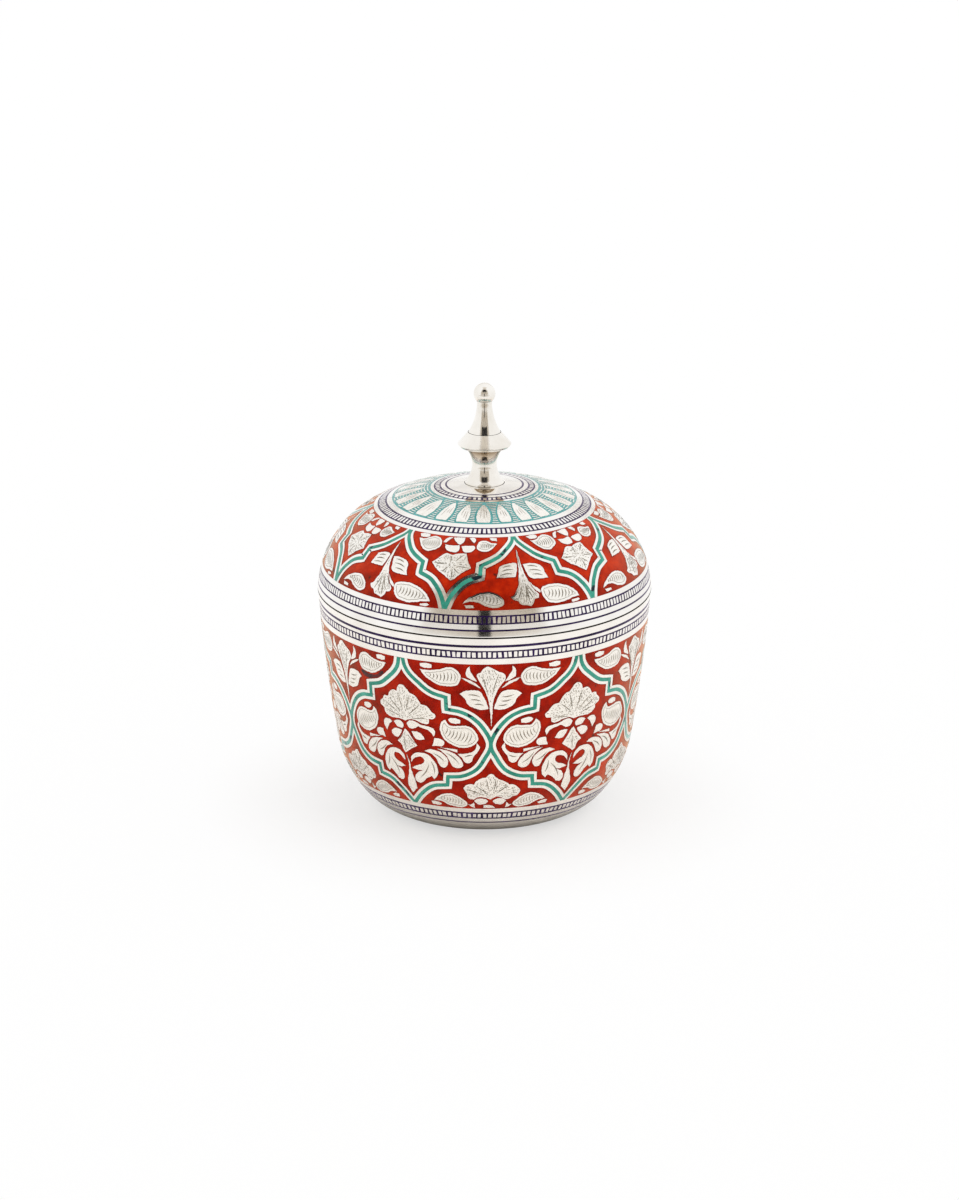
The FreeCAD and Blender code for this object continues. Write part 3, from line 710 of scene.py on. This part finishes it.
def ladder(name, count, edge, fill, metal):
    """Metal cells between the rungs of a violet band, each cut a little differently."""
    first, last = SPANS[name]
    face, build, pitch = FACES[body_of(name)], Build(), 360 / count
    faces = [tuple(i + k for i in quad) for quad in LADDER_QUADS for k in range(3)] + LADDER_ENDS
    for i in range(count):
        middle = (i + chance.uniform(-CELL_SHIFT, CELL_SHIFT)) * pitch
        half = pitch * fill / 2 * chance.uniform(*CELL_SPREAD)
        lean = chance.uniform(-CELL_LEAN, CELL_LEAN) * pitch
        near, far = first + edge * chance.uniform(*EDGE_SPREAD), last - edge * chance.uniform(*EDGE_SPREAD)
        rows, shift = np.linspace(near, far, 4), np.linspace(-lean, lean, 4)
        build.add(np.vstack([face.place(np.full(4, middle + side) + shift, rows, lift)
                             for lift in (0.0, -SINK) for side in (-half, half)]), faces)
    build.piece(name + "_cells", body_of(name), "plated_brass", metal)


PETAL = traced(
    (0, 140), (220, 190), (440, 310), (590, 450), (660, 600), (640, 750), (570, 870), [500, 930])
RUNG_GAP_SHARE, RUNG_EDGE_SHARE, RUNG_HALF, SHORTEST_RUNG = 0.078, 0.17, 0.17, 0.06
PETAL_STROKES, PETAL_STROKE_WIDTH = (-0.3, 0.06, 0.34), 0.15


def rosette(silver, engraved):
    """Silver tongues round the crown, each with a few graver's strokes, and a silver ladder between each pair."""
    petals, strokes, rungs = Build(), Build(), Build()
    back = np.linspace(ROSETTE_BARS[-1], ROSETTE_BARS[0] + 360, ROSETTE_BACK_PETALS + 1)
    bars = list(ROSETTE_BARS) + list(back[1:])
    widths, heights = zip(*[p[:2] for p in PETAL])
    for left, right in zip(bars, bars[1:]):
        half = (right - left) / 2
        cell, bar = (Cell("lid_rosette", axis, half, half) for axis in (left + half, left))
        wide = chance.uniform(0.94, 1.04)
        side = [(u * wide, *rest) for u, *rest in PETAL]
        patch(petals, cell, shape(cell, side + mirrored(side[:0:-1])), ENGRAVED_LIFT, PETAL_GRID)
        for u in PETAL_STROKES:
            start, end = chance.uniform(0.3, 0.5), chance.uniform(0.6, 0.88)
            path = cell.flat([(u * wide * (0.6 + 0.5 * v), v) for v in np.linspace(start, end, 5)])
            scratch(strokes, cell, path, PETAL_STROKE_WIDTH)
        for v in np.arange(0.08, 0.95, RUNG_GAP_SHARE):
            span = max(1 - np.interp(v, heights, widths) - RUNG_EDGE_SHARE, SHORTEST_RUNG)
            slip = chance.uniform(-0.012, 0.012)
            ends = bar.flat([(-span, v + slip), (0, v + 0.004), (span, v - slip)])
            ribbon(rungs, bar, ends, RUNG_HALF, -RUNG_HALF, ENGRAVED_LIFT)
    for build, name, metal in ((petals, "petals", silver), (strokes, "strokes", engraved), (rungs, "rungs", silver)):
        build.piece("lid_rosette_" + name, "lid", "plated_brass", metal)


# ---- turned metal
def turned(name, body, outline, metal, replaced):
    """A closed turned piece of metal."""
    build = Build()
    build.add(*lathe(outline))
    build.piece(name, body, "plated_brass", metal, replaced)


def bowl_shell(metal):
    """The bowl: grooved outside, eased mouth, smooth inside."""
    outside = recessed(BOWL, EDGE_ROUND, BOWL.s[-1], BOWL_RINGS)
    inner = BOWL.outline(np.linspace(BOWL.s[-1], BOWL.at("z", MOUTH_HEIGHT - LIP_DROP), INSIDE_ROWS), -BOWL_WALL)
    inner = inner[inner[:, 0] >= 0]
    inner[0, 0] = 0
    lip = rounded([tuple(inner[-1]), (inner[-1][0], MOUTH_HEIGHT), (MOUTH_RADIUS, MOUTH_HEIGHT), tuple(outside[0])])
    turned("bowl_metal", "bowl", np.vstack([lip, outside[1:], inner]), metal, ["bowl_shell"])


def lid_shell(metal):
    """The lid: grooved outside, eased rim, register for the collar and smooth inside."""
    outside = recessed(LID, 0, LID.s[-1] - EDGE_ROUND, LID_RINGS)
    inner = LID.outline(np.linspace(LID.s[-1], 0, INSIDE_ROWS), -LID_WALL)
    inner[:, 0] = np.minimum(inner[:, 0], LID_REGISTER_RADIUS)
    inner[-1, 0] = 0
    inner = inner[inner[:, 1] > MOUTH_HEIGHT + EDGE_ROUND]
    rim = rounded([tuple(outside[-1]), (LID_RADIUS, MOUTH_HEIGHT), (LID_REGISTER_RADIUS, MOUTH_HEIGHT),
                   tuple(inner[0])])
    turned("lid_metal", "lid", np.vstack([outside[:-1], rim, inner[1:]]), metal, ["lid_shell"])


SEAM_DEPTH, SEAM_BACK, SEAM_HALF = 0.5, 0.025, 0.35
CREASE_DEPTH, CREASE_PROUD, CREASE_HALF = 0.15, 0.12, 0.1
FINIAL_CREASES = ((6.0, 0.03), (4.9, 15.9), (2.33, 25.6))


def seam(painted_joint_shade):
    """Painted shade: dark rings in the fine groove where lid and bowl meet, and in the finial's creases."""
    build = Build()
    front = LID_RADIUS - SEAM_BACK
    build.add(*lathe([(LID_RADIUS - SEAM_DEPTH, MOUTH_HEIGHT), (front, MOUTH_HEIGHT + SEAM_HALF),
                      (front, MOUTH_HEIGHT - SEAM_HALF)]))
    for radius, height in FINIAL_CREASES:
        z = FINIAL_SEAT + height
        back = radius - CREASE_DEPTH
        crease = [(back, z + CREASE_HALF), (radius + CREASE_PROUD, z), (back, z - CREASE_HALF)]
        build.add(*lathe(crease, turns=FINIAL_TURNS))
    build.piece("joint_shade_lines", "lid", "plated_brass", painted_joint_shade)


WAIST_ARC, STEM_ARC, BALL_RADIUS = 7.6, 18.5, 3.3
FINIAL_TAIL = ((0.0, 101.9), (2.0, 101.9), (2.0, 95.6), (1.75, 95.35), (0.0, 95.35))


def finial(metal):
    """The turned finial: foot, hollow waist, sharp-rimmed cone, hollow stem and ball."""
    waist_low, waist_top = (5.5, 1.0), (5.6, 10.8)
    stem_low, stem_top = (4.9, 15.9), (2.25, 25.5)
    ball_seat = (2.65, 25.8)
    ball = (0, ball_seat[1] + math.sqrt(BALL_RADIUS ** 2 - ball_seat[0] ** 2))
    waist, stem = (arc_between(arc_centre(top, low, arc), arc, top, low, 40)[::-1]
                   for top, low, arc in ((waist_top, waist_low, WAIST_ARC), (stem_top, stem_low, STEM_ARC)))
    dome = arc_between(ball, BALL_RADIUS, ball_seat, (0, ball[1] + BALL_RADIUS), 40)
    dome[-1, 0] = 0
    foot = rounded([(0, 0), (6.0, 0, 0.1), (6.0, 0.6, 0.15), waist_low], 0.15)
    rim = rounded([waist_top, (7.6, 11.5, 0.2), (8.15, 12.3, 0.18), (5.05, 15.9, 0.1), stem_low])
    outline = np.vstack([foot[:-1], waist, rim[1:-1], stem, dome])
    outline[:, 1] += FINIAL_SEAT
    build = Build()
    build.add(*lathe(outline[::-1], closed=False, turns=FINIAL_TURNS))
    build.add(*lathe(FINIAL_TAIL, closed=False, turns=TAIL_TURNS))
    build.piece("finial_metal", "lid", "plated_brass", metal, ["finial"], crease=28)


# ---- materials
class Nodes:
    """A node tree and short ways to add to it."""

    def __init__(self, tree):
        self.nodes, self.links = tree.nodes, tree.links

    def feed(self, sockets, name, source):
        """Sets an input, or links it where the source is a socket."""
        if isinstance(source, bpy.types.NodeSocket):
            self.links.new(source, sockets[name])
        else:
            sockets[name].default_value = source

    def node(self, kind, inputs, **settings):
        node = self.nodes.new(kind)
        for name, value in settings.items():
            setattr(node, name, value)
        for name, source in inputs.items():
            self.feed(node.inputs, name, source)
        return node.outputs

    def shown(self):
        """1 on the rays that show the surroundings: to the camera, in a polish or through glass."""
        path = self.node("ShaderNodeLightPath", {})
        most = path["Is Camera Ray"]
        for ray in ("Is Glossy Ray", "Is Transmission Ray"):
            most = self.node("ShaderNodeMath", {0: most, 1: path[ray]}, operation="MAXIMUM")[0]
        return most


class Material(Nodes):
    """A Principled material."""

    def __init__(self, name, roughness, metallic=0.0):
        self.material = bpy.data.materials.new(name)
        self.material.use_nodes = True
        super().__init__(self.material.node_tree)
        self.shader = self.nodes["Principled BSDF"]
        self.give("Metallic", metallic)
        self.give("Roughness", roughness)
        self.coordinates = self.node("ShaderNodeTexCoord", {})["Object"]

    def give(self, name, source):
        self.feed(self.shader.inputs, name, source)

    def noise(self, scale, detail=3.0, rough=0.55, vector=None):
        return self.node("ShaderNodeTexNoise", {"Vector": vector or self.coordinates, "Scale": scale,
                                                "Detail": detail, "Roughness": rough})["Fac"]

    def length(self, vector):
        return self.node("ShaderNodeVectorMath", {0: vector}, operation="LENGTH")["Value"]

    def turned(self):
        """Coordinates that vary with radius and height alone, as a lathe's marks do."""
        x, y, z = self.node("ShaderNodeSeparateXYZ", {0: self.coordinates})
        radius = self.length(self.node("ShaderNodeCombineXYZ", {0: x, 1: y})[0])
        return self.node("ShaderNodeCombineXYZ", {0: radius, 1: z})[0]

    def ramp(self, source, *stops):
        colour = self.node("ShaderNodeValToRGB", {0: source})[0]
        elements = colour.node.color_ramp.elements
        while len(elements) < len(stops):
            elements.new(0.5)
        for element, (place, tone) in zip(elements, stops):
            element.position = place
            element.color = (*tone, 1) if isinstance(tone, tuple) else (tone, tone, tone, 1)
        return colour

    def mix(self, share, first, second, **settings):
        return self.node("ShaderNodeMix", {0: share, 6: first, 7: second}, data_type="RGBA", **settings)[2]

    def by_height(self, tone, heights, *stops):
        """A tone shaded by a ramp between two heights in millimetres."""
        height = self.node("ShaderNodeSeparateXYZ", {0: self.coordinates})[2]
        share = self.node("ShaderNodeMapRange", {
            "Value": height, "From Min": heights[0] * MM, "From Max": heights[1] * MM})[0]
        return self.mix(1.0, tone, self.ramp(share, *stops), blend_type="MULTIPLY")

    def bump(self, source, distance, strength, normal=None):
        under = {"Normal": normal} if normal else {}
        normal = self.node("ShaderNodeBump", {
            "Height": source, "Strength": strength, "Distance": distance, **under})[0]
        self.give("Normal", normal)
        return normal


WHITE = (1.0, 1.0, 1.0)
ENAMEL_ROUGHNESS, FLECK_EDGE = 0.16, 0.045
# The tint of the pale haze on an enamel that is seen at a slant.
PALE_VEIL, RED_VEIL, VIOLET_VEIL = (0.9, 1.0, 1.0), (1.0, 0.64, 0.36), (0.6, 0.54, 0.7)


def plated_metal(name, bright, dull, low, high, shade_band=None):
    """White plating over turned brass: faint lathe lines, hand-polish swirls, a warm tarnish at random and, between
    given heights, painted brown shade and reflection.
    """
    m = Material(name, low, 1.0)
    tone = m.ramp(m.noise(90, 5), (0.3, dull), (0.62, bright))
    # Painted shade and reflection of the crown plate under the finial's cup: a brown band by height.
    if shade_band:
        tone = m.by_height(tone, shade_band, (0.0, WHITE), (0.3, (0.8, 0.72, 0.63)), (0.75, (0.4, 0.31, 0.22)),
                           (0.97, (0.46, 0.37, 0.28)), (1.0, WHITE))
    m.give("Base Color", tone)
    m.give("Roughness", m.ramp(m.noise(320, 6, 0.65), (0.35, low), (0.75, high)))
    lines = m.bump(m.noise(2600, 2, 0.5, m.turned()), 0.00001, 0.25)
    m.bump(m.noise(420, 3), 0.00002, 0.12, lines)
    return m.material


def cut_silver():
    """Ornament cut by hand: matt from the graver, with a little dark dirt at random."""
    m = Material("cut_silver", 0.28, 0.62)
    m.give("Base Color", m.ramp(m.noise(750, 6, 0.72), (0.28, (0.58, 0.52, 0.44)), (0.4, (0.925, 0.895, 0.835)),
                                (0.7, (0.975, 0.955, 0.91))))
    m.give("Roughness", m.ramp(m.noise(700, 4), (0.3, 0.1), (0.7, 0.26)))
    m.bump(m.noise(1300, 4, 0.6), 0.00012, 0.6)
    return m.material


def engraved_groove_shade():
    """Painted shade of the engraved strokes, whose grooves are not modelled: dull grey-brown metal."""
    m = Material("engraved_groove_shade", 0.5, 0.7)
    m.give("Base Color", m.ramp(m.noise(500, 4), (0.3, (0.16, 0.135, 0.1)), (0.7, (0.4, 0.355, 0.29))))
    m.bump(m.noise(2500, 3), 0.00004, 0.4)
    return m.material


def painted_joint_shade():
    """Painted shade in the joints between turned parts: black."""
    m = Material("joint_shade_black", 0.8)
    m.give("Specular IOR Level", 0.1)
    m.give("Base Color", m.ramp(m.noise(900, 4), (0.3, (0.004, 0.003, 0.003)), (0.7, (0.016, 0.013, 0.011))))
    return m.material


def enamel(name, dark, base, light, veil=PALE_VEIL, fleck=None, rare=0.645, low_shade=None):
    """Hard enamel: glassy, clouded in the firing, with fine pits, a pale veil at a slant and some dark flecks."""
    m = Material(name, ENAMEL_ROUGHNESS)
    m.give("Specular IOR Level", 0.03)
    m.give("Sheen Weight", 1.0)
    m.give("Sheen Tint", (*veil, 1))
    m.give("Sheen Roughness", 0.4)
    cloud = m.ramp(m.noise(210, 6, 0.62), (0.3, dark), (0.5, base), (0.72, light))
    # Painted shade: darker low down between the given heights, as on the lid's steeper side.
    if low_shade:
        cloud = m.by_height(cloud, low_shade, (0.0, (0.62, 0.5, 0.5)), (1.0, WHITE))
    if fleck:
        spots = m.ramp(m.noise(260, 2, 0.4), (rare, 0.0), (rare + FLECK_EDGE, 1.0))
        cloud = m.mix(spots, cloud, (*fleck, 1))
    m.give("Base Color", cloud)
    m.give("Roughness", m.ramp(m.noise(480, 4), (0.3, ENAMEL_ROUGHNESS * 0.75), (0.75, ENAMEL_ROUGHNESS * 1.7)))
    m.bump(m.noise(600, 3), 0.00005, 0.25)
    return m.material


# ---- studio
# Painted light: how far the floor glows towards white, by distance from the box in metres.
FLOOR_SIZE, FLOOR_LIFT = 9, ((0.042, 0.58), (0.09, 0.93))
WORLD_LIGHT, WORLD_SHOWN = 0.8, 1.0
LAMPS, LAMP_SPREAD, LAMP_TILT = (("lamp_right", 1.1, 58), ("lamp_left", 0.6, -58)), 95, 6


def floor():
    """White paper that glows part of the way to white where it shows: painted light, weaker near the box so that it
    keeps a faint shadow.
    """
    bpy.ops.mesh.primitive_plane_add(size=FLOOR_SIZE)
    sheet = bpy.context.object
    sheet.name = "floor"
    m = Material("floor_paper", 0.9)
    m.give("Base Color", m.ramp(m.noise(3, 2), (0.3, 0.95), (0.7, 0.96)))
    glow = m.node("ShaderNodeEmission", {"Strength": 1.0})[0]
    lift = m.ramp(m.length(m.coordinates), *FLOOR_LIFT)
    share = m.node("ShaderNodeMath", {0: m.shown(), 1: lift}, operation="MULTIPLY")[0]
    mixed = m.node("ShaderNodeMixShader", {0: share, 1: m.shader.outputs[0], 2: glow})[0]
    m.feed(m.nodes["Material Output"].inputs, "Surface", mixed)
    sheet.data.materials.append(m.material)


def studio():
    """White surroundings and a broad lamp high on each side, the right one stronger."""
    floor()
    world = bpy.context.scene.world = bpy.data.worlds.new("studio")
    world.use_nodes = True
    sky = Nodes(world.node_tree)
    level = sky.node("ShaderNodeMix", {0: sky.shown(), 2: WORLD_LIGHT, 3: WORLD_SHOWN})[0]
    background = sky.nodes["Background"].inputs
    sky.feed(background, "Color", (*WHITE, 1))
    sky.feed(background, "Strength", level)
    for name, energy, side in LAMPS:
        data = bpy.data.lights.new(name, "SUN")
        data.energy, data.angle = energy, math.radians(LAMP_SPREAD)
        lamp = placed(name, data)
        lamp.rotation_euler = (math.radians(LAMP_TILT), math.radians(side), 0)
        lamp.visible_glossy = False


def card(name, middle, across, up, colour, fade=0.55, dims=False, disc=False):
    """A dim card off the picture, seen in the polish of the metal; it fades out at its edges."""
    middle, across, up = (np.array(v, float) for v in (middle, across, up))
    mesh = bpy.data.meshes.new(name)
    corners = [middle + a * across + b * up for a, b in ((-1, -1), (1, -1), (1, 1), (-1, 1))]
    mesh.from_pydata([tuple(c) for c in corners], [], [(0, 1, 2, 3)])
    m = Material(name + "_cloth", 0.9)
    m.give("Base Color", m.ramp(m.noise(6), (0.3, colour), (0.7, tuple(c * 1.2 for c in colour))))
    away = m.node("ShaderNodeVectorMath", {0: m.coordinates, 1: middle}, operation="SUBTRACT")[0]
    reach = []
    for axis in (across, up):
        along = {0: away, 1: axis / np.dot(axis, axis)}
        share = m.node("ShaderNodeVectorMath", along, operation="DOT_PRODUCT")["Value"]
        reach.append(m.node("ShaderNodeMath", {0: share}, operation="ABSOLUTE")[0])
    pair = dict(enumerate(reach))
    if disc:
        most = m.length(m.node("ShaderNodeCombineXYZ", pair)[0])
    else:
        most = m.node("ShaderNodeMath", pair, operation="MAXIMUM")[0]
    m.give("Alpha", m.ramp(most, (fade, 1.0), (1.0, 0.0)))
    mesh.materials.append(m.material)
    piece = placed(name, mesh)
    piece.visible_camera = False
    piece.visible_shadow = piece.visible_diffuse = dims


CAMERA_PITCH, CAMERA_REACH = math.radians(18.04), 1.0708
CAMERA_LENS, SENSOR_WIDTH, CAMERA_SHIFT = 105, 36, (-5 / 1200, -15.9 / 1200)


def camera():
    data = bpy.data.cameras.new("camera")
    data.lens, data.sensor_width = CAMERA_LENS, SENSOR_WIDTH
    data.shift_x, data.shift_y = CAMERA_SHIFT
    eye = bpy.context.scene.camera = placed("camera", data)
    eye.location = (0, -CAMERA_REACH * math.cos(CAMERA_PITCH),
                    MOUTH_HEIGHT * MM + CAMERA_REACH * math.sin(CAMERA_PITCH))
    eye.rotation_euler = (math.pi / 2 - CAMERA_PITCH, 0, 0)


def cards():
    """What the polish mirrors: the dim room in front, a person and a camera stand, and shade near the box."""
    card("room", (0, -1.3, 1.1), (1.2, 0, 0), (0, 0, 1.15), (0.52, 0.47, 0.4), 0.75, True)
    card("ceiling", (0, -0.75, 2.1), (0.75, 0, 0), (0, 0.8, 0), (0.76, 0.72, 0.66))
    card("mat", (0, -0.9, 0.002), (0.8, 0, 0), (0, 0.65, 0), (0.52, 0.47, 0.4))
    card("person", (0, -1.0, 1.16), (0.52, 0, 0), (0, 0, 0.5), (0.015, 0.013, 0.012), 0.85)
    card("stand", (0, -0.42, 0.1), (0.032, 0, 0), (0, 0, 0.12), (0.008, 0.007, 0.006), 0.85)
    card("back", (0, 1.3, 0.65), (0.8, 0, 0), (0, 0, 0.4), (0.84, 0.83, 0.82))
    # Painted shade of the floor round the box, and a darker painted contact shadow under its foot, seen only in the
    # polish.
    card("floor_shade_in_polish", (0, 0, 0.0004), (0.3, 0, 0), (0, 0.3, 0), (0.9, 0.87, 0.83), 0.3, disc=True)
    card("contact_shadow_in_polish", (0, 0, 0.0005), (0.0425, 0, 0), (0, 0.0425, 0), (0.44, 0.425, 0.41), 0.75, disc=True)


def main():
    plate = plated_metal("plated_metal", (0.965, 0.945, 0.915), (0.88, 0.85, 0.805), 0.06, 0.14)
    # The finial's plating, with painted shade and reflection under its cup.
    worn_and_cup_shade = plated_metal("worn_plating_cup_shade", (0.945, 0.92, 0.875), (0.81, 0.765, 0.69), 0.07, 0.16, CUP_SHADE_HEIGHTS)
    inner = plated_metal("plated_inner", (0.88, 0.85, 0.8), (0.76, 0.71, 0.63), 0.2, 0.34)
    hardware = plated_metal("brass_hardware", (0.83, 0.62, 0.3), (0.68, 0.48, 0.2), 0.22, 0.36)
    silver, engraved = cut_silver(), engraved_groove_shade()
    red = enamel("red_enamel", (0.19, 0.003, 0.0003), (0.365, 0.005, 0.0003), (0.54, 0.016, 0.0005),
                 RED_VEIL, fleck=(0.04, 0.006, 0.008), rare=0.7)
    # A lighter copy of the bowl's red: painted light on the lid, which faces up.
    lit_lid_red = enamel("lit_lid_red_enamel", (0.28, 0.006, 0.0005), (0.48, 0.014, 0.0008), (0.66, 0.034, 0.0024),
                     RED_VEIL, fleck=(0.06, 0.01, 0.008), rare=0.72, low_shade=LID_SHADE_HEIGHTS)
    # Red of the edge lines: the enamel's dark edge, partly painted shade beside the metal.
    edge_red_and_shade = enamel("edge_red_and_shade_enamel", (0.18, 0.004, 0.0006), (0.27, 0.007, 0.0008), (0.36, 0.012, 0.001), RED_VEIL)
    turquoise = enamel("turquoise_enamel", (0.025, 0.21, 0.15), (0.045, 0.33, 0.24), (0.08, 0.43, 0.33),
                       fleck=(0.008, 0.02, 0.03))
    teal = enamel("teal_enamel", (0.05, 0.28, 0.28), (0.08, 0.37, 0.37), (0.14, 0.46, 0.45))
    violet = enamel("violet_enamel", (0.01, 0.004, 0.028), (0.022, 0.008, 0.058), (0.05, 0.026, 0.12), VIOLET_VEIL)
    black_patch = enamel("black_enamel", (0.008, 0.006, 0.008), (0.035, 0.009, 0.01), (0.24, 0.008, 0.003))
    bowl_shell(plate)
    lid_shell(plate)
    finial(worn_and_cup_shade)
    seam(painted_joint_shade())
    fields = {"bowl_field": ("red_enamel", red), "lid_field": ("red_enamel", lit_lid_red),
              "lid_rosette": ("teal_enamel", teal)}
    for name in (*BOWL_RINGS, *LID_RINGS):
        enamel_ring(name, *fields.get(name, ("violet_enamel", violet)))
    for name, cuts in LADDERS.items():
        ladder(name, *cuts, plate)
    rosette(silver, engraved)
    looks = {"flowers": silver, "leaves": silver, "paisleys": silver, "polished_rims": plate, "strap_fillets": plate,
             "strap_enamel": turquoise, "engraving": engraved, "dark_edges_and_shade": edge_red_and_shade}
    decorate("bowl", {**looks, "black_enamel": black_patch})
    decorate("lid", looks)
    for node, material in (("mouth_collar", inner), ("finial_washer", hardware), ("finial_nut", hardware)):
        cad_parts[node].data.materials.clear()
        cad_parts[node].data.materials.append(material)
    studio()
    cards()
    camera()
    bpy.context.scene.view_settings.view_transform = "Standard"


main()
